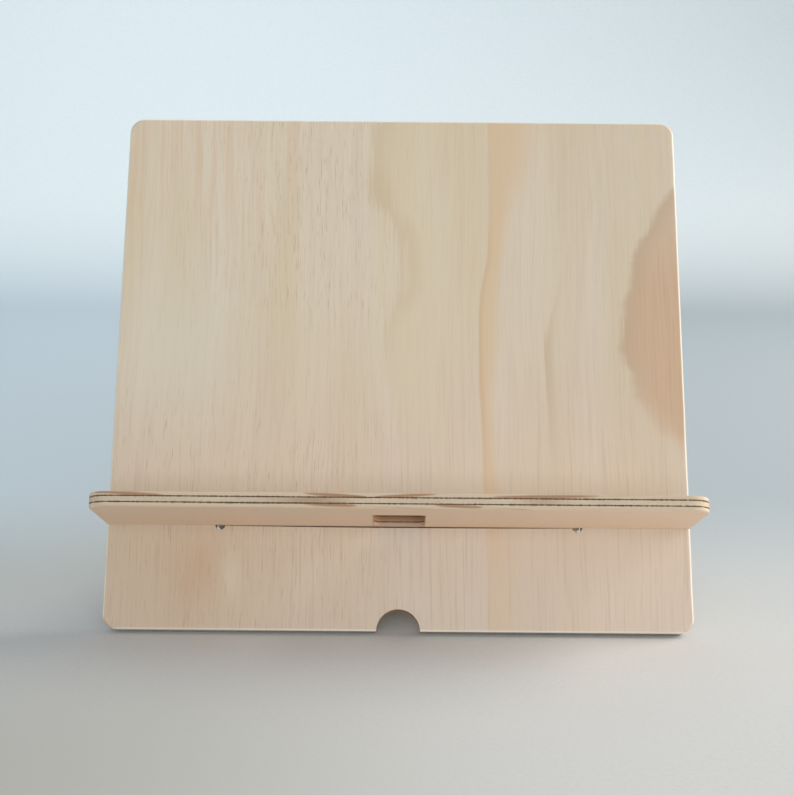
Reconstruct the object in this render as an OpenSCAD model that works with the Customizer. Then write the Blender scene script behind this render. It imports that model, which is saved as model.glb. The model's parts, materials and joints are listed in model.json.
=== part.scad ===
// Slot-together stand that holds a book open for reading.
//
// Two panels are routed from one thin sheet of three-ply pine plywood. The
// backboard leans back and takes the book's covers. The ledge takes its lower
// edge: it stands square to the backboard, stops against it with two
// shoulders, and sends a tail through a slot in it. The tail's far end rests
// on the table and props the stand from behind.
//
// +X runs along the width, +Y away from the reader and +Z up. The origin is
// below the middle of the stand, at table height.

/* [Plywood] */
// Thickness of each face veneer
face_veneer_t = 2.1; // [1.8:0.1:2.6]
// Thickness of each dark glue line
glue_line_t = 0.35; // [0.2:0.05:0.5]
// Thickness of the core veneer
core_veneer_t = 2.6; // [1.8:0.1:3.2]
// Diameter of the router bit that clears the inside corners
router_d = 5; // [4:0.5:6]

/* [Backboard] */
// Width of the backboard and of the ledge
board_w = 300; // [270:5:340]
// Height of the backboard, measured up its slope
board_h = 280; // [240:5:320]
// Radius of the backboard's four corners
board_corner_r = 8; // [6:1:16]
// Angle that the backboard leans back from upright
lean = 25; // [20:1:30]
// Radius of the half-round cable notch in the lower edge
notch_r = 11; // [8:0.5:14]

/* [Ledge] */
// Height of the ledge's underside, measured up the backboard
ledge_rise = 53.4; // [48:0.2:60]
// How far the ledge stands out in front of the backboard
ledge_depth = 55; // [45:1:65]
// Radius of the ledge's two front corners
ledge_corner_r = 10; // [6:1:16]
// Width of the tail that passes through the backboard
tail_w = 187; // [160:1:210]
// Radius of the tail's two far corners
tail_corner_r = 10; // [6:1:16]
// Width of the cable opening in the ledge
cable_slot_w = 26; // [20:1:32]
// Length of the cable opening, front to back
cable_slot_l = 34; // [24:1:36]
// Radius of the cable opening's corners
cable_slot_r = 4; // [3:0.5:6]
// Wood left between the cable opening and the backboard
cable_slot_set_out = 1; // [1:0.5:4]

/* [Fit] */
// Slack under the ledge in the backboard's slot
slack_below = 1; // [0.5:0.1:1.5]
// Slack over the ledge in the backboard's slot
slack_above = 0.1; // [0.05:0.05:0.3]
// Slack at each side of the tail
slack_side = 0.3; // [0.2:0.1:0.6]
// Gap between the ledge's shoulders and the backboard
shoulder_gap = 0.05; // [0.05:0.05:0.2]
// How far each corner hole's centre lies in from the slot's end
relief_set_in = 2; // [1:0.1:2.5]
// How far each corner hole's centre lies in from the slot's long edge
relief_rise = 1.2; // [0:0.1:1.5]

/* [Feet] */
// Width of the flat where each panel's lower arris meets the table
land_w = 1.2; // [0.8:0.1:1.6]

/* [Hidden] */
// Facets on round corners; every arc is rebuilt as a true curve
$fn = 64;
// Cutting tools reach this far past the faces that they cut
past = 1;

// Plywood sheet, measured from one face
sheet_t = 2 * (face_veneer_t + glue_line_t) + core_veneer_t;
glue_line_1_from = face_veneer_t;
core_from = glue_line_1_from + glue_line_t;
glue_line_2_from = core_from + core_veneer_t;
veneer_2_from = glue_line_2_from + glue_line_t;

router_r = router_d / 2;

// Slot in the backboard, measured up the slope from the lower edge
slot_w = tail_w + 2 * slack_side;
slot_from = ledge_rise - slack_below;
slot_to = ledge_rise + sheet_t + slack_above;
slot_h = slot_to - slot_from;

// The tail ends where the ledge's sloping underside comes down to the level
// of the backboard's lower edge
tail_reach = ledge_rise / tan(lean);

// Depth of the cut that makes a flat of width land_w on a leaning arris
foot_cut = land_w * sin(lean) * cos(lean);

// Ledge outline, with 0 at the backboard's rear face and the reader at -Y
shoulder_at = -(sheet_t + shoulder_gap);
front_at = shoulder_at - ledge_depth;
cable_slot_at = shoulder_at - cable_slot_set_out - cable_slot_l / 2;

// Front and rear of the whole stand, measured from where the backboard stands
stand_front_y = ledge_rise * sin(lean) + front_at * cos(lean);
stand_rear_y = (ledge_rise + sheet_t) * sin(lean) + tail_reach * cos(lean);
middle_y = (stand_front_y + stand_rear_y) / 2;

// Colours of the pine and of the glue
pine_face = [0.82, 0.74, 0.65];
pine_core = [0.76, 0.67, 0.57];
glue_brown = [0.30, 0.23, 0.18];

// A rectangle about the origin, with all four corners rounded
module rounded_rectangle(w, h, r) {
    square([w - 2 * r, h], center = true);
    square([w, h - 2 * r], center = true);
    for (x = [-1, 1], y = [-1, 1])
        translate([x * (w / 2 - r), y * (h / 2 - r)])
            circle(r = r);
}

// A rectangle from y = 0 to y = h, with its corners at y = h rounded
module rounded_tongue(w, h, r) {
    translate([-w / 2, 0])
        square([w, h - r]);
    translate([-w / 2 + r, 0])
        square([w - 2 * r, h]);
    for (x = [-1, 1])
        translate([x * (w / 2 - r), h - r])
            circle(r = r);
}

// The opening that the tail passes through, with a drilled hole at each corner
module tail_slot_outline() {
    translate([-slot_w / 2, slot_from])
        square([slot_w, slot_h]);
    for (x = [-1, 1], y = [slot_from + relief_rise, slot_to - relief_rise])
        translate([x * (slot_w / 2 - relief_set_in), y])
            circle(r = router_r);
}

// Backboard seen square on, with its lower edge along y = 0
module backboard_outline() {
    difference() {
        translate([0, board_h / 2])
            rounded_rectangle(board_w, board_h, board_corner_r);
        circle(r = notch_r);
        tail_slot_outline();
    }
}

// Ledge seen from above, with the reader at -Y
module ledge_outline() {
    difference() {
        union() {
            translate([0, shoulder_at])
                mirror([0, 1])
                    rounded_tongue(board_w, ledge_depth, ledge_corner_r);
            translate([0, shoulder_at])
                rounded_tongue(tail_w, tail_reach - shoulder_at, tail_corner_r);
        }
        // round bites that let the shoulders close up against the backboard
        for (x = [-1, 1])
            translate([x * tail_w / 2, shoulder_at + router_r])
                circle(r = router_r);
        translate([0, cable_slot_at])
            rounded_rectangle(cable_slot_w, cable_slot_l, cable_slot_r);
    }
}

// One layer of the backboard, measured forward from its rear face
module backboard_layer(from, thickness) {
    translate([0, -middle_y, -foot_cut])
        rotate([90 - lean, 0, 0])
            translate([0, 0, from])
                linear_extrude(thickness)
                    backboard_outline();
}

// One layer of the ledge, measured up from its underside
module ledge_layer(from, thickness) {
    translate([0, -middle_y, -foot_cut])
        rotate([-lean, 0, 0])
            translate([0, 0, ledge_rise + from])
                linear_extrude(thickness)
                    ledge_outline();
}

// Everything below the table's surface
module below_table() {
    translate([-board_w, -board_h, -past])
        cube([2 * board_w, 2 * board_h, past]);
}

// The backboard's rear arris stands on the table
module backboard_rear_veneer() {
    color(pine_face)
        difference() {
            backboard_layer(0, face_veneer_t);
            below_table();
        }
}

module backboard_rear_glue_line() {
    color(glue_brown) backboard_layer(glue_line_1_from, glue_line_t);
}

module backboard_core_veneer() {
    color(pine_core) backboard_layer(core_from, core_veneer_t);
}

module backboard_front_glue_line() {
    color(glue_brown) backboard_layer(glue_line_2_from, glue_line_t);
}

module backboard_front_veneer() {
    color(pine_face) backboard_layer(veneer_2_from, face_veneer_t);
}

// The lower arris at the tail's far end stands on the table
module ledge_bottom_veneer() {
    color(pine_face)
        difference() {
            ledge_layer(0, face_veneer_t);
            below_table();
        }
}

module ledge_lower_glue_line() {
    color(glue_brown) ledge_layer(glue_line_1_from, glue_line_t);
}

module ledge_core_veneer() {
    color(pine_core) ledge_layer(core_from, core_veneer_t);
}

module ledge_upper_glue_line() {
    color(glue_brown) ledge_layer(glue_line_2_from, glue_line_t);
}

module ledge_top_veneer() {
    color(pine_face) ledge_layer(veneer_2_from, face_veneer_t);
}

backboard_rear_veneer();
backboard_rear_glue_line();
backboard_core_veneer();
backboard_front_glue_line();
backboard_front_veneer();
ledge_bottom_veneer();
ledge_lower_glue_line();
ledge_core_veneer();
ledge_upper_glue_line();
ledge_top_veneer();
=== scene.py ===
"""Looks of a slot-together plywood book stand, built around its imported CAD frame.

Each of the ten CAD layers (two face veneers, a core veneer and two glue lines
in each panel) is rebuilt as one closed, detailed mesh in the same place: sanded
arrises, a slightly wandering boundary between the layers, and glue lines that
lie a hair below the cut edge.

A panel has its own sheet coordinates in millimetres. For the backboard u runs
along the width, v up the slope from the lower edge and w forward from the rear
face. For the ledge u runs along the width, v away from the reader from the
backboard's rear face, and w up from the underside. Everything that goes to
Blender is in metres, in the row frame.
"""

import json
import math

import bpy
import numpy as np
from mathutils import Matrix, Vector, noise
from mathutils.geometry import delaunay_2d_cdt


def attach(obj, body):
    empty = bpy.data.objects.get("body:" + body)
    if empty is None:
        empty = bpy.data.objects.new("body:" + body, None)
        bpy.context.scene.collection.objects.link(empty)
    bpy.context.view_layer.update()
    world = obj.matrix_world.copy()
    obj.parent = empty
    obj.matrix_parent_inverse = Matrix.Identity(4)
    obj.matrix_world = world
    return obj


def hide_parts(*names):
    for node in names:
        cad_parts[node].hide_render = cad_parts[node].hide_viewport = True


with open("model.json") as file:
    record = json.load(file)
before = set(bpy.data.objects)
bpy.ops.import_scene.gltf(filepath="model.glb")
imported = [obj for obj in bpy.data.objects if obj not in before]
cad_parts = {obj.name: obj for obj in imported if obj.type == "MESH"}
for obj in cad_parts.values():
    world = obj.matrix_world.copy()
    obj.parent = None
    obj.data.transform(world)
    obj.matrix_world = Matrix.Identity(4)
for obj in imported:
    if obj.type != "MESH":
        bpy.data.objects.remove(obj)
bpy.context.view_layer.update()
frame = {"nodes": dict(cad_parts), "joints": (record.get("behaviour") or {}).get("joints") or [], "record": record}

MM = 0.001
X_AXIS = Vector((1, 0, 0))
OUT = Vector(frame["joints"][0]["axis"]).normalized()  # square to the backboard, to the reader
UP = X_AXIS.cross(OUT) * -1  # up the backboard's slope

# Outline dimensions in mm, the same as in part.scad
BOARD_CORNER_R = 8
LEDGE_CORNER_R = 10
ROUTER_R = 2.5
NOTCH_R = 11
TAIL_HALF = 93.5
SLOT_SLACK_SIDE = 0.3
SLOT_SLACK_BELOW = 1.0
SLOT_SLACK_ABOVE = 0.1
RELIEF_SET_IN = 2.0
RELIEF_RISE = 1.2
SHOULDER_GAP = 0.05
CABLE_HALF_W = 13
CABLE_LENGTH = 34
CABLE_SET_OUT = 1
CABLE_R = 4

# How far the slot's hollow lower edge rises above its true line, in mm
SLOT_EDGE_RISE = 0.85
SLOT_EDGE_MID_RISE = 0.4
SLOT_EDGE_STEPS = 20

# Radius of the arrises in mm: the backboard's outer edge is sanded most of all, then the
# ledge's, while the arrises of openings and of hidden edges are only eased or left crisp
HAND_SANDED = 1.3
SANDED = 0.8
EASED = 0.35
CRISP = 0.2

# Points closer than this count as one, in mm
TOUCHING = 1e-6

# Spacing of the mesh, in mm
EDGE_STEP = 1.5
FACE_STEP = 6.0
ARC_STEP = 0.7
ARRIS_STEPS = 4

# How much wider or narrower an arris gets along its length, as a share of its radius
ARRIS_UNEVENNESS = 0.3

# Small unevenness of the surfaces, in mm: how far the layers' boundaries wander, how deep the
# glue lies below the cut edge, how far the faces dip, and how deep the router's chatter is
WANDER = 0.09
GLUE_RECESS = 0.05
FACE_UNEVENNESS = 0.02
CHATTER = 0.03


# ---------------------------------------------------------------- camera first

# Where the camera stands, in metres, how far it looks down, and its lens and sensor in mm
CAMERA_PLACE = (-0.00148, -0.73687, 0.25309)
CAMERA_PITCH = math.radians(10.79)
CAMERA_ROLL = math.radians(0.48)
CAMERA_LENS = 64.27
CAMERA_SENSOR = 36


def make_camera():
    """A camera in front of the stand, about as high as its top and looking slightly down."""
    data = bpy.data.cameras.new("camera")
    data.sensor_width = CAMERA_SENSOR
    data.lens = CAMERA_LENS
    data.clip_start = 0.05
    data.clip_end = 20
    camera = bpy.data.objects.new("camera", data)
    bpy.context.scene.collection.objects.link(camera)
    tilt = Matrix.Rotation(math.radians(90) - CAMERA_PITCH, 4, "X")
    turn = Matrix.Rotation(CAMERA_ROLL, 4, "Z")
    camera.matrix_world = Matrix.Translation(CAMERA_PLACE) @ tilt @ turn
    bpy.context.scene.camera = camera


make_camera()


# ---------------------------------------------------------------- outlines

def arc(centre, radius, start, end, sanding):
    """Points along an arc, from start to end degrees, each with its arris radius."""
    sweep = math.radians(end - start)
    steps = max(4, round(abs(sweep) * radius / ARC_STEP))
    angles = [math.radians(start) + sweep * k / steps for k in range(steps + 1)]
    return [
        (centre[0] + radius * math.cos(a), centre[1] + radius * math.sin(a), sanding)
        for a in angles
    ]


def filled(corners):
    """A closed outline with extra points along its straight runs, and no repeated points."""
    points = []
    for here, after in zip(corners, corners[1:] + corners[:1]):
        run = math.dist(here[:2], after[:2])
        if run < TOUCHING:
            continue
        pieces = max(1, math.ceil(run / EDGE_STEP)) if run > 2 * ARC_STEP else 1
        for k in range(pieces):
            share = k / pieces
            points.append(tuple(a + (b - a) * share for a, b in zip(here, after)))
    return points


def backboard_outlines(half_width, height, ledge_under, sheet):
    """The backboard's edge, and the slot with a drilled hole at each of its corners."""
    across = half_width - BOARD_CORNER_R
    top = height - BOARD_CORNER_R
    edge = [
        *arc((across, BOARD_CORNER_R), BOARD_CORNER_R, -90, 0, HAND_SANDED),
        *arc((across, top), BOARD_CORNER_R, 0, 90, HAND_SANDED),
        *arc((-across, top), BOARD_CORNER_R, 90, 180, HAND_SANDED),
        *arc((-across, BOARD_CORNER_R), BOARD_CORNER_R, 180, 270, HAND_SANDED),
        *arc((0, 0), NOTCH_R, 180, 0, EASED),
    ]
    slot_low = ledge_under - SLOT_SLACK_BELOW
    slot_high = ledge_under + sheet + SLOT_SLACK_ABOVE
    hole_u = TAIL_HALF + SLOT_SLACK_SIDE - RELIEF_SET_IN
    hole_low, hole_high = slot_low + RELIEF_RISE, slot_high - RELIEF_RISE
    # where each hole's arc meets the slot's end, its upper edge and its lower edge
    turn = math.degrees(math.acos(RELIEF_SET_IN / ROUTER_R))
    crest = math.degrees(math.asin(RELIEF_RISE / ROUTER_R))
    foot = math.degrees(math.asin((RELIEF_RISE - SLOT_EDGE_RISE) / ROUTER_R))
    # the slot's lower edge is hollow: it nearly meets the ledge towards its ends
    span = hole_u - ROUTER_R
    sag = SLOT_EDGE_RISE - SLOT_EDGE_MID_RISE
    shares = [k / SLOT_EDGE_STEPS for k in range(1 - SLOT_EDGE_STEPS, SLOT_EDGE_STEPS)]
    hollow = [(-span * t, slot_low + SLOT_EDGE_MID_RISE + sag * t ** 2, CRISP) for t in shares]
    slot = [
        *arc((-hole_u, hole_high), ROUTER_R, 180 + turn, crest, CRISP),
        *arc((hole_u, hole_high), ROUTER_R, 180 - crest, -turn, CRISP),
        *arc((hole_u, hole_low), ROUTER_R, turn, foot - 180, CRISP),
        *hollow,
        *arc((-hole_u, hole_low), ROUTER_R, -foot, -180 - turn, CRISP),
    ]
    return [filled(edge), filled(slot)]


def ledge_outlines(half_width, front, reach, sheet):
    """The ledge's edge with its shoulders and tail, and the cable opening."""
    across = half_width - LEDGE_CORNER_R
    shoulder = -(sheet + SHOULDER_GAP)
    bite = shoulder + ROUTER_R
    tail = TAIL_HALF - LEDGE_CORNER_R
    edge = [
        *arc((across, front + LEDGE_CORNER_R), LEDGE_CORNER_R, -90, 0, SANDED),
        (half_width, shoulder, EASED),
        *arc((TAIL_HALF, bite), ROUTER_R, 270, 90, CRISP),
        *arc((tail, reach - LEDGE_CORNER_R), LEDGE_CORNER_R, 0, 90, SANDED),
        *arc((-tail, reach - LEDGE_CORNER_R), LEDGE_CORNER_R, 90, 180, SANDED),
        *arc((-TAIL_HALF, bite), ROUTER_R, 90, -90, CRISP),
        (-half_width, shoulder, EASED),
        *arc((-across, front + LEDGE_CORNER_R), LEDGE_CORNER_R, 180, 270, SANDED),
    ]
    rear = shoulder - CABLE_SET_OUT - CABLE_R
    fore = shoulder - CABLE_SET_OUT - CABLE_LENGTH + CABLE_R
    side = CABLE_HALF_W - CABLE_R
    opening = [
        *arc((-side, rear), CABLE_R, 180, 90, EASED),
        *arc((side, rear), CABLE_R, 90, 0, EASED),
        *arc((side, fore), CABLE_R, 0, -90, EASED),
        *arc((-side, fore), CABLE_R, 270, 180, EASED),
    ]
    return [filled(edge), filled(opening)]


# ---------------------------------------------------------------- panels

def spread(nodes, direction):
    """Least and greatest distance of the CAD nodes' points along a direction, in mm."""
    along = [v.co.dot(direction) for n in nodes for v in frame["nodes"][n].data.vertices]
    return min(along) / MM, max(along) / MM


class Panel:
    """One plywood panel: its layers from the bottom of the sheet up, and where it lies."""

    def __init__(self, body, layers, ahead, out, v_zero, seed):
        self.body = body
        self.layers = layers
        self.ahead = ahead
        self.out = out
        self.v_zero = v_zero
        self.w_zero = spread(layers[:1], out)[0]
        self.seed = seed
        tops = [spread([layer], out)[1] - self.w_zero for layer in layers]
        self.heights = [0, *tops]
        self.half_width = spread(layers, X_AXIS)[1]
        low, high = spread(layers, ahead)
        self.v_low, self.v_high = low - v_zero, high - v_zero
        self.outlines = []

    def place(self, u, v, w):
        """A point in the row frame, in metres."""
        return (
            X_AXIS * u
            + self.ahead * (v + self.v_zero)
            + self.out * (w + self.w_zero)
        ) * MM

    def boundary(self, number, u, v):
        """Height of a layer's boundary over the underside. Only the inner four wander."""
        base = self.heights[number]
        if number in (0, len(self.layers)):
            inward = 1 if number == 0 else -1
            swell = noise.noise(Vector((u / 40, v / 40, self.seed + number)))
            return base + inward * FACE_UNEVENNESS * (1 + swell)
        at = Vector((u / 11, v / 11, self.seed + number))
        ragged = Vector((u / 2.1, v / 2.1, self.seed - number))
        return base + WANDER * noise.noise(at) + 0.5 * WANDER * noise.noise(ragged)


board_layers = frame["record"]["behaviour"]["bodies"]["backboard"]
ledge_layers = frame["record"]["behaviour"]["bodies"]["ledge"]
board_rear = spread(board_layers, OUT)[0]
board_foot = spread(board_layers[2:3], UP)[0]

backboard = Panel("backboard", board_layers, UP, OUT, board_foot, seed=3.7)
ledge = Panel("ledge", ledge_layers, -OUT, UP, -board_rear, seed=41.3)
sheet_t = backboard.heights[-1]
backboard.outlines = backboard_outlines(
    backboard.half_width, backboard.v_high, ledge.w_zero - board_foot, sheet_t
)
ledge.outlines = ledge_outlines(ledge.half_width, ledge.v_low, ledge.v_high, sheet_t)


# ---------------------------------------------------------------- meshes

def inset_directions(outline):
    """For each point the step into the wood that moves both neighbouring edges in by 1 mm.

    Every outline keeps the wood on its left."""
    here = np.array(outline)[:, :2]
    ahead = np.roll(here, -1, 0) - here
    ahead /= np.linalg.norm(ahead, axis=1)[:, None]
    left = np.stack([-ahead[:, 1], ahead[:, 0]], 1)
    before = np.roll(left, 1, 0)
    # the limit keeps the step short at a very sharp corner
    dot = np.maximum((left * before).sum(1), -0.5)
    return (left + before) / (1 + dot)[:, None]


def profile(panel, number, u, v, sanding):
    """(inset, height) of each ring of a layer's wall at one point of the outline, bottom up."""
    low = panel.boundary(number, u, v)
    high = panel.boundary(number + 1, u, v)
    if "glue_line" in panel.layers[number]:
        return [(GLUE_RECESS, low), (GLUE_RECESS, high)]
    lowest, highest = number == 0, number == len(panel.layers) - 1
    uneven = noise.noise(Vector((u / 14, v / 14, 9.0 + number)))
    radius = sanding * (1 + ARRIS_UNEVENNESS * uneven)
    turns = [math.radians(90) * k / ARRIS_STEPS for k in range(ARRIS_STEPS + 1)]
    rounded = [(radius * (1 - math.sin(a)), radius * (1 - math.cos(a))) for a in turns]
    # the wall is straight between the arrises, apart from the router's chatter
    start = low + radius if lowest else low
    end = high - radius if highest else high
    chatter = max(0, CHATTER * noise.noise(Vector((u / 2.7, v / 2.7, 5.0 + number))))
    middle = [(chatter, start + (end - start) * share) for share in (0.35, 0.7)]
    below = [(i, low + h) for i, h in rounded] if lowest else [(0, low)]
    above = [(i, high - h) for i, h in reversed(rounded)] if highest else [(0, high)]
    return below + middle + above


def inside(points, outlines):
    """Which points lie in the wood, by counting crossings of all the outlines."""
    crossings = np.zeros(len(points), int)
    for outline in outlines:
        a = np.array(outline)[:, :2]
        b = np.roll(a, -1, 0)
        for (ax, ay), (bx, by) in zip(a, b):
            if ay == by:
                continue
            spans = (points[:, 1] < ay) != (points[:, 1] < by)
            at = ax + (points[:, 1] - ay) * (bx - ax) / (by - ay)
            crossings += spans & (points[:, 0] < at)
    return crossings % 2 == 1


def face_grid(panel):
    """Points inside the panel's outline on an even grid, clear of its edges."""
    us = np.arange(-panel.half_width, panel.half_width, FACE_STEP) + FACE_STEP / 2
    vs = np.arange(panel.v_low, panel.v_high, FACE_STEP) + FACE_STEP / 2
    grid = np.array([(u, v) for u in us for v in vs])
    grid = grid[inside(grid, panel.outlines)]
    edge = np.concatenate([np.array(o)[:, :2] for o in panel.outlines])
    nearest = np.array([np.abs(edge - p).max(1).min() for p in grid])
    return grid[nearest > FACE_STEP / 2]


def triangles(loops, grid):
    """Triangles over the wood between closed loops of 2-D points, with the grid's points inside."""
    points = [Vector(p) for loop in loops for p in loop] + [Vector(p) for p in grid]
    edges, start = [], 0
    for loop in loops:
        count = len(loop)
        edges += [(start + k, start + (k + 1) % count) for k in range(count)]
        start += count
    found = delaunay_2d_cdt(points, edges, [], 0, TOUCHING)
    if len(found[0]) != len(points):
        raise ValueError("an inset outline crosses itself")
    faces = np.array(found[2])
    flat = np.array([tuple(p) for p in points])
    keep = inside(flat[faces].mean(1), loops)
    return faces[keep]


def wall_columns(panel, number, outline):
    """For each point of an outline, its column of points on the layer's wall, bottom up."""
    columns = []
    for (u, v, sanding), step in zip(outline, inset_directions(outline)):
        rings = profile(panel, number, u, v, sanding)
        columns.append([(u + step[0] * i, v + step[1] * i, w) for i, w in rings])
    return columns


def wall_quads(start, count, rings):
    """Quads round a wall of so many columns, whose first point is vertex number start."""
    quads = []
    for k in range(count):
        a, b = start + k * rings, start + (k + 1) % count * rings
        quads += [(a + r, b + r, b + r + 1, a + r + 1) for r in range(rings - 1)]
    return quads


def layer_mesh(panel, number, grid):
    """One layer as a closed mesh: a ring of points for each height, and a cap on each side."""
    vertices, quads = [], []
    bottom_loops, top_loops, bottom_ids, top_ids = [], [], [], []
    for outline in panel.outlines:
        columns = wall_columns(panel, number, outline)
        start, rings, count = len(vertices), len(columns[0]), len(columns)
        vertices += [point for column in columns for point in column]
        quads += wall_quads(start, count, rings)
        bottom_loops.append([column[0][:2] for column in columns])
        top_loops.append([column[-1][:2] for column in columns])
        bottom_ids += [start + k * rings for k in range(count)]
        top_ids += [start + k * rings + rings - 1 for k in range(count)]
    caps = []
    for loops, ids, level, flip in (
        (bottom_loops, bottom_ids, number, True),
        (top_loops, top_ids, number + 1, False),
    ):
        start = len(vertices)
        vertices += [(u, v, panel.boundary(level, u, v)) for u, v in grid]
        lookup = np.array(ids + list(range(start, start + len(grid))))
        made = lookup[triangles(loops, grid)]
        made = made[:, ::-1] if flip else made
        caps += [tuple(int(k) for k in face) for face in made]
    return vertices, quads, caps


def stand_on_table(point):
    """Arrises that would reach below the table are sanded flat there."""
    return Vector((point.x, point.y, max(point.z, 0)))


def build_layer(panel, number, grid, material):
    """The visible piece for one CAD layer, riding on the panel's body."""
    node = panel.layers[number]
    vertices, quads, caps = layer_mesh(panel, number, grid)
    mesh = bpy.data.meshes.new(node + "_look")
    places = [stand_on_table(panel.place(*point)) for point in vertices]
    mesh.from_pydata(places, [], quads + caps)
    mesh.validate()
    mesh.shade_smooth()
    mesh.set_sharp_from_angle(angle=math.radians(40))
    mesh.materials.append(material)
    piece = bpy.data.objects.new(node + "_look", mesh)
    bpy.context.scene.collection.objects.link(piece)
    weighted = piece.modifiers.new("even_normals", "WEIGHTED_NORMAL")
    weighted.keep_sharp = True
    weighted.weight = 80
    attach(piece, panel.body)
    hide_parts(node)
    return piece


# ---------------------------------------------------------------- shader fields

class Field:
    """A number that varies over a surface. Arithmetic on fields lays down Math nodes."""

    def __init__(self, tree, socket):
        self.tree = tree
        self.socket = socket

    def __add__(self, other):
        return maths("ADD", self, other)

    def __radd__(self, other):
        return maths("ADD", other, self)

    def __sub__(self, other):
        return maths("SUBTRACT", self, other)

    def __rsub__(self, other):
        return maths("SUBTRACT", other, self)

    def __mul__(self, other):
        return maths("MULTIPLY", self, other)

    def __truediv__(self, other):
        return maths("DIVIDE", self, other)

    def __abs__(self):
        return maths("ABSOLUTE", self)


def feed(value, socket):
    """Links a field to a socket, or sets a plain number or colour on it."""
    if isinstance(value, Field):
        value.tree.links.new(value.socket, socket)
    else:
        socket.default_value = value


def maths(operation, *operands):
    """A Math node over fields and plain numbers."""
    tree = next(o.tree for o in operands if isinstance(o, Field))
    node = tree.nodes.new("ShaderNodeMath")
    node.operation = operation
    for operand, socket in zip(operands, node.inputs):
        feed(operand, socket)
    return Field(tree, node.outputs[0])


def vector(x, y, z):
    """A vector field from three fields or plain numbers."""
    tree = next(o.tree for o in (x, y, z) if isinstance(o, Field))
    node = tree.nodes.new("ShaderNodeCombineXYZ")
    for value, socket in zip((x, y, z), node.inputs):
        feed(value, socket)
    return Field(tree, node.outputs[0])


def speckle(place, detail=2.0, roughness=0.5):
    """Noise from 0 to 1 about a mean of 0.5, at the scale of the place field's units."""
    node = place.tree.nodes.new("ShaderNodeTexNoise")
    feed(place, node.inputs["Vector"])
    node.inputs["Scale"].default_value = 1
    node.inputs["Detail"].default_value = detail
    node.inputs["Roughness"].default_value = roughness
    return Field(place.tree, node.outputs[0])


def ramp(value, low, high):
    """0 at low, 1 at high and a smooth turn in between. Low may be above high."""
    node = value.tree.nodes.new("ShaderNodeMapRange")
    node.interpolation_type = "SMOOTHSTEP"
    flipped = low > high
    feed(value, node.inputs["Value"])
    node.inputs["From Min"].default_value = min(low, high)
    node.inputs["From Max"].default_value = max(low, high)
    node.inputs["To Min"].default_value = 1 if flipped else 0
    node.inputs["To Max"].default_value = 0 if flipped else 1
    return Field(value.tree, node.outputs["Result"])


def bell(value, width):
    """1 at zero, falling off to either side over the width."""
    scaled = value / width
    return maths("EXPONENT", scaled * scaled * -1)


def track(value, stops):
    """A smooth curve through (value, result) stops."""
    inputs = [s[0] for s in stops]
    results = [s[1] for s in stops]
    low, high = min(inputs), max(inputs)
    least, most = min(results), max(results)
    node = value.tree.nodes.new("ShaderNodeFloatCurve")
    feed((value - low) / (high - low), node.inputs["Value"])
    points = node.mapping.curves[0].points
    shares = sorted(((i - low) / (high - low), (r - least) / (most - least)) for i, r in stops)
    for point, share in zip((points[0], points[-1]), (shares[0], shares[-1])):
        point.location = share
    for share in shares[1:-1]:
        points.new(*share)
    node.mapping.update()
    return Field(value.tree, node.outputs[0]) * (most - least) + least


def tint(base, over, share):
    """The base colour with another laid over it by a share, which is held between 0 and 1."""
    tree = share.tree
    node = tree.nodes.new("ShaderNodeMix")
    node.data_type = "RGBA"
    node.clamp_factor = True
    feed(share, node.inputs[0])
    feed(base, node.inputs[6])
    feed(over, node.inputs[7])
    return Field(tree, node.outputs[2])


def srgb(red, green, blue):
    """A colour given in 0-255 display values."""
    def linear(c):
        """One channel as linear light."""
        c = c / 255
        return c / 12.92 if c <= 0.04045 else ((c + 0.055) / 1.055) ** 2.4
    return (linear(red), linear(green), linear(blue), 1)


def sheet_fields(tree, panel):
    """The sheet coordinates u, v and w as fields, in mm."""
    coordinates = tree.nodes.new("ShaderNodeTexCoord")
    fields = []
    for direction, zero in (
        (X_AXIS, 0), (panel.ahead, panel.v_zero), (panel.out, panel.w_zero)
    ):
        dot = tree.nodes.new("ShaderNodeVectorMath")
        dot.operation = "DOT_PRODUCT"
        tree.links.new(coordinates.outputs["Object"], dot.inputs[0])
        dot.inputs[1].default_value = direction / MM
        fields.append(Field(tree, dot.outputs["Value"]) - zero)
    return fields


def new_material(name):
    """A material with a Principled shader, and its node tree."""
    material = bpy.data.materials.new(name)
    material.use_nodes = True
    tree = material.node_tree
    shader = tree.nodes["Principled BSDF"]
    return material, tree, shader


def finish_wood(shader, colour, roughness, height, depth_mm):
    """Feeds the shader of a wooden surface and adds its relief."""
    tree = colour.tree
    feed(colour, shader.inputs["Base Color"])
    feed(roughness, shader.inputs["Roughness"])
    shader.inputs["Specular IOR Level"].default_value = 0.3
    bump = tree.nodes.new("ShaderNodeBump")
    bump.inputs["Strength"].default_value = 1
    bump.inputs["Distance"].default_value = depth_mm * MM
    feed(height, bump.inputs["Height"])
    tree.links.new(bump.outputs["Normal"], shader.inputs["Normal"])


# ---------------------------------------------------------------- pine

# Depth of the grain's relief on sanded faces and on the core's cut edge, in mm
FACE_RELIEF = 0.05
CORE_RELIEF = 0.12

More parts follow.
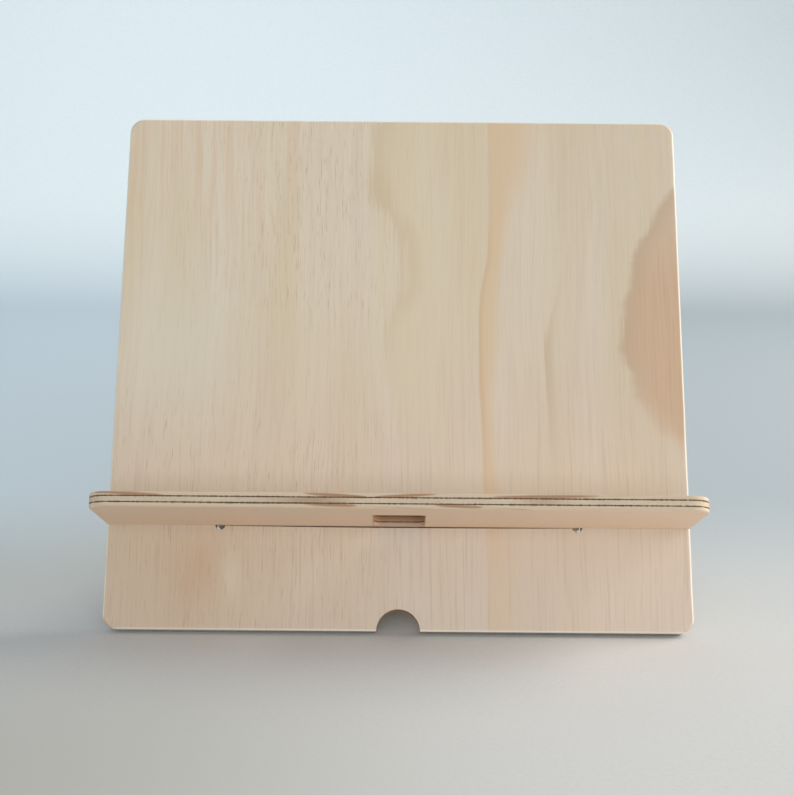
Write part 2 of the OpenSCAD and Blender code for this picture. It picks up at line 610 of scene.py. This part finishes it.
PALE_PINE = srgb(228, 212, 188)
STRAW_PINE = srgb(223, 204, 172)
PINK_PINE = srgb(218, 197, 179)
SILVER_PINE = srgb(222, 214, 196)
ROSE_LINE = srgb(198, 166, 146)
LATE_WOOD = srgb(205, 180, 150)
GREY_PINE = srgb(206, 186, 164)
OCHRE_PINE = srgb(205, 181, 146)
THREAD_WOOD = srgb(206, 182, 155)
ORANGE_PINE = srgb(222, 190, 153)
UNDERSIDE_BOUNCE_LIGHT = srgb(255, 221, 190)
ORANGE_LINE = srgb(200, 165, 127)
HEART_PINE = srgb(210, 176, 145)
HEART_STREAK = srgb(203, 161, 125)
HEART_RIM = srgb(196, 169, 140)
DASH_BROWN = srgb(176, 142, 110)
OPENING_WALL_BROWN = srgb(150, 104, 70)
LENS_BROWN = srgb(166, 124, 92)
END_GRAIN = srgb(206, 187, 162)
ARRIS_HIGHLIGHT = srgb(244, 236, 220)
SOAKED_WOOD = srgb(120, 90, 64)
SCORCH_AND_SHADE_BROWN = srgb(168, 118, 76)
GLUE_BROWN = srgb(92, 66, 46)
GLUE_DARK = srgb(50, 35, 25)


class Grain:
    """The plain grain of pine, as fields from 0 to 1. All but the dashes have a mean of 0.5."""

    def __init__(self, along, across, depth, seed):
        drift = speckle(vector(across / 60, along / 120, depth / 40 + seed)) - 0.5
        bent = across + drift * 6
        self.fibre = speckle(vector(bent / 0.4, along / 30, depth / 0.5 + seed), 3, 0.6)
        self.thread = speckle(vector(bent / 1.0, along / 48, depth / 1.0 + seed), 3, 0.6)
        self.streak = speckle(vector(bent / 3.4, along / 150, depth / 3 + seed), 3, 0.55)
        self.broad = speckle(vector(bent / 24, along / 200, depth / 30 + seed), 1)
        spots = speckle(vector(bent / 0.45, along / 11, depth / 0.6 + seed), 1)
        self.dashes = ramp(spots, 0.6, 0.76)


def plain_pine(grain):
    """Colour of clear pine without any special figure."""
    colour = tint(PALE_PINE, STRAW_PINE, ramp(grain.broad, 0.3, 0.7))
    colour = tint(colour, PINK_PINE, ramp(grain.streak, 0.42, 0.72) * 0.34 + 0.08)
    colour = tint(colour, THREAD_WOOD, ramp(grain.thread, 0.46, 0.74) * 0.32 + 0.02)
    return tint(colour, LATE_WOOD, ramp(grain.fibre, 0.48, 0.8) * 0.4)


def soak(colour, u, v, w, lines, wider=0):
    """Darkens wood close to a glue line, unevenly, and over a wider strip where asked."""
    nibble = speckle(vector(u / 1.3, v / 1.3, w / 4), 2, 0.6) - 0.5
    for line in lines:
        near = abs(w - line) - nibble * 0.9 - wider
        colour = tint(colour, SOAKED_WOOD, ramp(near, 0.3, 0.05) * 0.85)
    return colour


def slot_burn_and_painted_shade(colour, u, v, w):
    """Brown on the walls of the backboard's slot, its corner holes and its notch: partly router burn, partly
    painted shade and warm bounce light in these hollows.
    """
    slot_low = ledge.w_zero - board_foot - SLOT_SLACK_BELOW
    half_slot = (SLOT_SLACK_BELOW + sheet_t + SLOT_SLACK_ABOVE) / 2
    from_side = abs(u) - (TAIL_HALF + SLOT_SLACK_SIDE - RELIEF_SET_IN)  # to the holes' centres
    from_edge = abs(v - slot_low - half_slot) - half_slot
    hole_v = from_edge + RELIEF_RISE
    from_hole = maths("SQRT", from_side * from_side + hole_v * hole_v) - ROUTER_R
    from_slot = maths("MAXIMUM", from_side, from_edge)
    from_notch = maths("SQRT", u * u + v * v) - NOTCH_R
    nearest = maths("MINIMUM", maths("MINIMUM", from_hole, from_slot), from_notch)
    wall = ramp(nearest, 0.4, 0.1)
    # the faces themselves get none of this brown
    half_sheet = sheet_t / 2
    within = ramp(abs(w - half_sheet), half_sheet - 0.05, half_sheet - 0.35)
    return tint(colour, SCORCH_AND_SHADE_BROWN, wall * within * 0.85)


def cable_opening_darkening(colour, u, v, w, panel):
    """Paints the walls of the cable opening darker brown, most of all near the top."""
    rear = -(panel.heights[-1] + SHOULDER_GAP + CABLE_SET_OUT)
    middle = rear - CABLE_LENGTH / 2
    from_side = abs(u) - CABLE_HALF_W
    from_end = abs(v - middle) - CABLE_LENGTH / 2
    wall = ramp(maths("MAXIMUM", from_side, from_end), 0.5, 0.2)
    return tint(colour, OPENING_WALL_BROWN, wall * (0.5 + ramp(w, 0.8, 5.0) * 0.5))


# Where the figure of the backboard's front runs, as (v, u) stops in mm
LONG_RING_LINE = [
    (0, 3), (60, 1), (97, 0), (150, -11), (192, 2), (222, -6), (247, -16), (285, -6)
]
SHORT_RING_LINE = [(0, 88), (60, 82), (108, 79), (149, 77), (176, 82), (255, 109), (285, 117)]
ORANGE_BAND_SIDE = [
    (0, 46), (47, 45), (73, 44), (105, 43), (157, 42), (205, 47), (250, 48), (285, 47)
]
HEARTWOOD_SIDE = [
    (60, 165), (95, 147), (108, 134), (130, 122), (157, 118),
    (198, 126), (222, 135), (240, 148), (285, 175),
]
# The orange band's width, as (v, width) stops in mm
ORANGE_BAND_WIDTH = [
    (0, 12), (47, 13), (73, 8), (105, 5), (157, 8), (205, 9), (250, 19), (285, 27)
]


def board_tones(colour, u, v, grain, ragged):
    """Broad changes of tone over the backboard's front, painted shade low down at the left, and a warm spot there.
    """
    # pinker wood low down
    colour = tint(colour, PINK_PINE, ramp(v + ragged * 3, 190, 60) * 0.55)
    colour = tint(colour, PINK_PINE, ramp(v, 60, 40) * ramp(u, 20, 60) * 0.4)
    colour = tint(colour, ROSE_LINE, ramp(grain.thread, 0.5, 0.7) * ramp(v, 160, 60) * 0.34)
    # warm smudges high up at the left
    smudged = ramp(grain.streak, 0.45, 0.65) * ramp(v + ragged * 3, 190, 240)
    colour = tint(colour, ORANGE_PINE, smudged * ramp(u, -30, -70) * 0.35)
    # quieter grain high up at the right, and paler wood at the middle of the left side
    colour = tint(colour, GREY_PINE, ramp(u, 30, 100) * ramp(v, 80, 140) * 0.22)
    colour = tint(colour, SILVER_PINE, bell(u + 118, 32) * bell(v - 150, 50) * 0.5)
    # painted shade low down at the left, where less light falls, then the wood's spot and a pale patch beside it
    low_left_shade = ramp(u, -40, -150) * ramp(v, 140, 40)
    colour = tint(colour, GREY_PINE, low_left_shade * 0.4)
    colour = tint(colour, ORANGE_LINE, ramp(v, 60, 40) * ramp(u, 20, -130) * 0.28)
    spot = bell(u + 101 + ragged * 3, 16) * bell(v - 28 + ragged * 3, 20)
    colour = tint(colour, HEART_STREAK, spot * 0.4)
    return tint(colour, PALE_PINE, bell(u + 86 + ragged, 6) * bell(v - 27, 14) * 0.5)


def dark_fibres(colour, u, v, grain):
    """Short dark fibres, mostly left of the middle and high up, and low down at the left."""
    upper_left = bell(u + 52, 48) * ramp(v, 130, 185)
    lower_left = ramp(u, 30, -40) * ramp(v, 150, 90) * 0.8
    dashed = maths("MAXIMUM", upper_left, lower_left) * 0.55 + 0.12
    return tint(colour, DASH_BROWN, grain.dashes * dashed * 0.75)


def ring_lines(colour, u, v, ragged):
    """A long ring line with straw-coloured wood right of it, and a shorter one further right."""
    off = u - track(v, LONG_RING_LINE) + ragged * 2.6
    straw = ramp(off, -4, 6) * ramp(off, 48, 12) * ramp(v, 60, 150)
    colour = tint(colour, STRAW_PINE, straw * 0.5)
    line = ramp(off, -3, 3) * ramp(off, 14, 2) * ramp(v, 80, 200)
    colour = tint(colour, OCHRE_PINE, line * 0.38)
    colour = tint(colour, OCHRE_PINE, bell(off - 2, 7) * bell(v - 240, 12) * 0.35)
    # the shorter line is darkest in its middle
    off = u - track(v, SHORT_RING_LINE) + ragged * 0.6
    dark = bell(v - 138, 34) * 0.7 + 0.08
    return tint(colour, LATE_WOOD, ramp(off, -1, 1) * ramp(off, 7, 0) * dark)


def orange_band(colour, u, v, grain, ragged):
    """A band up the whole slope, sharp along its left side, which has a darker line."""
    inner = u - track(v, ORANGE_BAND_SIDE) + ragged * 0.25
    across = inner / track(v, ORANGE_BAND_WIDTH) + (grain.streak - 0.5)
    share = ramp(inner, -0.5, 0.6) * ramp(across, 1.5, 0.35) * (ramp(v, 20, 110) * 0.4 + 0.35)
    colour = tint(colour, ORANGE_PINE, share)
    line = ramp(inner, -0.9, 0.3) * ramp(inner, 3.2, 0.4) * bell(v - 150, 75)
    return tint(colour, ORANGE_LINE, line * 0.35)


def heartwood(colour, u, v, grain, ragged):
    """Heartwood at the right edge, streaky, with a greyer rim that fades out low down."""
    waver = (speckle(vector(v / 13, 3.3, 8.1), 2) - 0.5) * 9
    past = u - track(v, HEARTWOOD_SIDE) + ragged * 0.6 + (grain.fibre - 0.5) * 5
    past = past + waver
    low_down = ramp(v, 150, 95)
    heart = tint(HEART_PINE, HEART_STREAK, ramp(grain.thread, 0.4, 0.7) * 0.5)
    heart = tint(heart, PINK_PINE, ramp(v, 175, 235) * 0.35)
    heart = tint(heart, HEART_RIM, ramp(past, 14, 0) * (1 - low_down) * 0.75)
    share = ramp(past, -2.5, 3) * (1 - low_down) + ramp(past, -5, 14) * low_down
    return tint(colour, heart, share * 0.9)


def backboard_front_figure(colour, u, v, grain):
    """The figure of the backboard's front, from its broad tones to its heartwood."""
    ragged = (grain.thread - 0.5) * 5 + (grain.streak - 0.5) * 6 + (grain.fibre - 0.5) * 2
    colour = board_tones(colour, u, v, grain, ragged)
    colour = dark_fibres(colour, u, v, grain)
    colour = ring_lines(colour, u, v, ragged)
    colour = orange_band(colour, u, v, grain, ragged)
    return heartwood(colour, u, v, grain, ragged)


def backboard_face_material(name, panel, seed, glue_at, front):
    """Pine with its grain up the slope, with a painted highlight along the sanded rim, and soaked at the glue."""
    material, tree, shader = new_material(name)
    u, v, w = sheet_fields(tree, panel)
    grain = Grain(v, u, w, seed)
    colour = plain_pine(grain)
    if front:
        colour = backboard_front_figure(colour, u, v, grain)
    else:
        colour = tint(colour, DASH_BROWN, grain.dashes * 0.35)
    half_height = panel.v_high / 2
    rim = maths("MAXIMUM", abs(u) - panel.half_width, abs(v - half_height) - half_height)
    # painted highlight along the sanded arrises of the board's rim, where the light catches them
    colour = tint(colour, ARRIS_HIGHLIGHT, ramp(rim, -HAND_SANDED, -0.5) * 0.7)
    colour = soak(colour, u, v, w, [glue_at])
    # router burn with painted shade and bounce light on the walls of the slot, its holes and the notch
    colour = slot_burn_and_painted_shade(colour, u, v, w)
    finish_wood(shader, colour, 0.56 + grain.fibre * 0.16, 1 - grain.fibre, FACE_RELIEF)
    return material


# Half the thickness of a dark lens at its middle, in mm
LENS_HALF = 0.95


def dark_lens(u, height, grain, start, end, from_height, to_height):
    """A slanting lens of dark wood in a ply's edge, thickest between its start and its end.

    It runs from start to end along u, and its middle line between two heights off the glue."""
    along = (u - start) / (end - start)
    span = maths("MAXIMUM", along * (1 - along) * 4, 0)
    middle = along * (to_height - from_height) + from_height
    off = abs(height - middle) + (grain.thread - 0.5) + (grain.fibre - 0.5) * 0.5
    return ramp(maths("SQRT", span) * LENS_HALF - off, -0.35, 0.55)


# Depth of the darker strip behind the ledge's front edge, and where it starts to fade, in mm
FRONT_STRIP = 3
FRONT_STRIP_FADES = 1

# Half the length of the stretch where a glue line has soaked further into the wood, and how
# much further, in mm
WIDE_SOAK_HALF = 24
WIDE_SOAK = 0.22


def ledge_face_material(name, panel, seed, lenses, glue_at, glue_wide_at=None):
    """Pine with its grain along the ledge, with painted bounce light on its underside. Lenses of dark wood show at
    its front edge.
    """
    material, tree, shader = new_material(name)
    u, v, w = sheet_fields(tree, panel)
    grain = Grain(u, v, w, seed)
    colour = plain_pine(grain)
    colour = tint(colour, PINK_PINE, 0.35 + grain.broad * 0.4)
    colour = tint(colour, DASH_BROWN, grain.dashes * 0.3)
    near_front = ramp(v, panel.v_low + FRONT_STRIP, panel.v_low + FRONT_STRIP_FADES)
    colour = tint(colour, LATE_WOOD, near_front * 0.6)
    # painted warm bounce light on the underside, as if it were lit from the floor below
    colour = tint(colour, UNDERSIDE_BOUNCE_LIGHT, ramp(w, 0.3, 0.1) * 0.6)
    from_glue = abs(w - glue_at)
    for lens in lenses:
        share = dark_lens(u, from_glue, grain, *lens) * near_front
        colour = tint(colour, LENS_BROWN, share * 0.9)
    wider = 0 if glue_wide_at is None else bell(u - glue_wide_at, WIDE_SOAK_HALF) * WIDE_SOAK
    colour = soak(colour, u, v, w, [glue_at], wider)
    colour = cable_opening_darkening(colour, u, v, w, panel)
    finish_wood(shader, colour, 0.56 + grain.fibre * 0.16, 1 - grain.fibre, FACE_RELIEF)
    return material


def core_material(name, panel, along_width, seed, patches=()):
    """The core veneer, which shows only along the cut edges, with darker patches along u."""
    material, tree, shader = new_material(name)
    u, v, w = sheet_fields(tree, panel)
    grain = Grain(u, v, w, seed) if along_width else Grain(v, u, w, seed)
    colour = tint(END_GRAIN, STRAW_PINE, ramp(grain.broad, 0.35, 0.65) * 0.5)
    colour = tint(colour, LATE_WOOD, ramp(grain.streak, 0.45, 0.7) * 0.4)
    colour = tint(colour, DASH_BROWN, ramp(grain.thread, 0.5, 0.8) * 0.4)
    for start, end, share in patches:
        middle, half = (start + end) / 2, (end - start) / 2
        near = bell(u - middle + (grain.thread - 0.5) * 6, half)
        colour = tint(colour, LENS_BROWN, near * share)
    colour = soak(colour, u, v, w, [panel.heights[2], panel.heights[3]])
    if along_width:
        # router burn with painted shade and bounce light on the walls of the slot and its holes
        colour = slot_burn_and_painted_shade(colour, u, v, w)
    else:
        colour = cable_opening_darkening(colour, u, v, w, panel)
    finish_wood(shader, colour, 0.66 + grain.fibre * 0.18, 1 - grain.fibre, CORE_RELIEF)
    return material


def glue_material(name, panel, seed):
    """A dark resin-soaked line with paler, worn stretches."""
    material, tree, shader = new_material(name)
    u, v, w = sheet_fields(tree, panel)
    coarse = speckle(vector(u / 7, v / 7, w + seed), 3)
    fine = speckle(vector(u / 0.8, v / 0.8, w / 0.3 + seed), 2)
    colour = tint(GLUE_DARK, GLUE_BROWN, ramp(coarse, 0.35, 0.65))
    colour = tint(colour, LATE_WOOD, ramp(fine, 0.6, 0.8) * 0.35)
    finish_wood(shader, colour, 0.5 + fine * 0.2, fine, FACE_RELIEF)
    return material


# ---------------------------------------------------------------- the stand

def build_panel(panel, materials, slots):
    """All the layers of a panel, each with its material. The slot names are passed in but not used."""
    grid = face_grid(panel)
    for number, (material, slot) in enumerate(zip(materials, slots)):
        piece = build_layer(panel, number, grid, material)


def build_backboard():
    """The leaning panel. Only its front has the special figure."""
    glue = glue_material("backboard_glue", backboard, 2)
    heights = backboard.heights
    materials = [
        backboard_face_material("backboard_rear_pine", backboard, 31, heights[1], front=False),
        glue,
        core_material("backboard_core_pine", backboard, True, 12),
        glue,
        backboard_face_material("backboard_front_pine", backboard, 7, heights[4], front=True),
    ]
    face, core, line = "pine_face_backboard", "pine_core_veneer", "glue_line"
    build_panel(backboard, materials, [face, line, core, line, face])


def build_ledge():
    """The panel that carries the book, with lenses and patches of dark wood at its front edge."""
    glue = glue_material("ledge_glue", ledge, 5)
    heights = ledge.heights
    # where each lens starts and ends along the ledge, and its distance from the glue there, in mm
    under = [(-47, -20, 0.1, 1.0), (16, 40, 0.1, 1.2)]
    over = [(-147, -112, 1.6, 0.1), (-46, -16, 1.7, 0.0), (-12, 18, 0.0, 1.6), (44, 96, 0.3, 1.4)]
    materials = [
        ledge_face_material("ledge_bottom_pine", ledge, 17, under, heights[1], -70),
        glue,
        core_material("ledge_core_pine", ledge, False, 23, [(-60, -24, 0.6), (58, 80, 0.45)]),
        glue,
        ledge_face_material("ledge_top_pine", ledge, 53, over, heights[4]),
    ]
    face, core, line = "pine_face_ledge", "pine_core_veneer", "glue_line"
    build_panel(ledge, materials, [face, line, core, line, face])


# ---------------------------------------------------------------- studio

# Size of the floor and of the curve behind it, in metres
STAGE_HALF_WIDTH = 6.0
STAGE_FRONT = -1.6
STAGE_REAR = 1.25
STAGE_CURVE = 0.9
STAGE_TOP = 5.0
# How many flat strips make up the curve
STAGE_CURVE_STEPS = 24

NEAR_FLOOR = srgb(209, 209, 208)
PAINTED_SHADE_FLOOR = srgb(180, 180, 174)
FAR_FLOOR_LEFT = srgb(191, 204, 213)
FAR_FLOOR_RIGHT = srgb(173, 182, 187)
BACKDROP = srgb(231, 238, 240)


def build_stage():
    """A pale floor that turns up into a backdrop behind the stand in one wide curve."""
    section = [(STAGE_FRONT, 0), (-0.6, 0), (0, 0), (0.6, 0)]
    for k in range(STAGE_CURVE_STEPS + 1):
        a = math.radians(90) * k / STAGE_CURVE_STEPS
        section.append(
            (STAGE_REAR + STAGE_CURVE * math.sin(a), STAGE_CURVE * (1 - math.cos(a)))
        )
    section.append((STAGE_REAR + STAGE_CURVE, STAGE_TOP))
    vertices = [(x, y, z) for y, z in section for x in (-STAGE_HALF_WIDTH, STAGE_HALF_WIDTH)]
    faces = [(2 * k, 2 * k + 1, 2 * k + 3, 2 * k + 2) for k in range(len(section) - 1)]
    mesh = bpy.data.meshes.new("studio_floor")
    mesh.from_pydata(vertices, [], faces)
    mesh.shade_smooth()
    mesh.materials.append(stage_material())
    floor = bpy.data.objects.new("studio_floor", mesh)
    bpy.context.scene.collection.objects.link(floor)


def stage_material():
    """Matt paint: warm and pale near the stand with painted shade towards the left, greyer further back, and cool
    up the backdrop.
    """
    material, tree, shader = new_material("studio_paint")
    coordinates = tree.nodes.new("ShaderNodeTexCoord")
    split = tree.nodes.new("ShaderNodeSeparateXYZ")
    tree.links.new(coordinates.outputs["Object"], split.inputs[0])
    x, y, z = (Field(tree, s) for s in split.outputs)
    # painted shade towards the left of the near floor, left out along the strip where the stand's own shadow falls
    own_shadow = bell(y + 0.06, 0.09)
    near = tint(NEAR_FLOOR, PAINTED_SHADE_FLOOR, ramp(x, 0.1, -0.2) * (1 - own_shadow))
    far = tint(FAR_FLOOR_LEFT, FAR_FLOOR_RIGHT, ramp(x, -0.45, 0.4))
    colour = tint(near, far, ramp(y, -0.08, 0.25))
    colour = tint(colour, BACKDROP, ramp(y, 1.2, 1.75))
    # grit about 2.5 mm across
    grit = speckle(vector(x * 400, y * 400, z * 400), 2)
    colour = tint(colour, FAR_FLOOR_RIGHT, ramp(grit, 0.4, 0.7) * 0.1)
    feed(colour, shader.inputs["Base Color"])
    shader.inputs["Roughness"].default_value = 0.75
    shader.inputs["Specular IOR Level"].default_value = 0.2
    return material


def area_light(name, place, target, size, power, colour, spread_angle=180):
    """A soft rectangular light at a place, turned towards a target."""
    data = bpy.data.lights.new(name, "AREA")
    data.spread = math.radians(spread_angle)
    data.shape = "RECTANGLE"
    data.size, data.size_y = size
    data.energy = power
    data.color = colour
    lamp = bpy.data.objects.new(name, data)
    bpy.context.scene.collection.objects.link(lamp)
    turn = (Vector(target) - Vector(place)).to_track_quat("-Z", "Y")
    lamp.matrix_world = Matrix.Translation(place) @ turn.to_matrix().to_4x4()


def build_lights():
    """Soft daylight: a window at the right, a low fill from the front, a wash on the backdrop."""
    world = bpy.data.worlds.new("studio_air")
    world.use_nodes = True
    background = world.node_tree.nodes["Background"]
    background.inputs["Color"].default_value = (0.94, 0.98, 1.0, 1)
    background.inputs["Strength"].default_value = 0.45
    bpy.context.scene.world = world
    stand, backdrop = (0, 0, 0.1), (0.05, 2.1, 0.4)
    area_light(
        "window", place=(2.0, 0.5, 1.1), target=stand, size=(1.6, 1.4),
        power=27, colour=(1.0, 0.94, 0.86), spread_angle=120,
    )
    area_light(
        "fill", place=(0.1, -2.2, 0.75), target=stand, size=(2.0, 1.2),
        power=27, colour=(0.7, 0.76, 0.82),
    )
    area_light(
        "wash", place=(-1.1, 0.6, 1.6), target=backdrop, size=(1.2, 1.2),
        power=7.2, colour=(0.78, 0.87, 0.95), spread_angle=120,
    )


def set_view():
    """Plain display transform, so that the pale tones keep their values."""
    settings = bpy.context.scene.view_settings
    settings.view_transform = "Standard"
    settings.look = "None"


build_backboard()
build_ledge()
build_stage()
build_lights()
set_view()
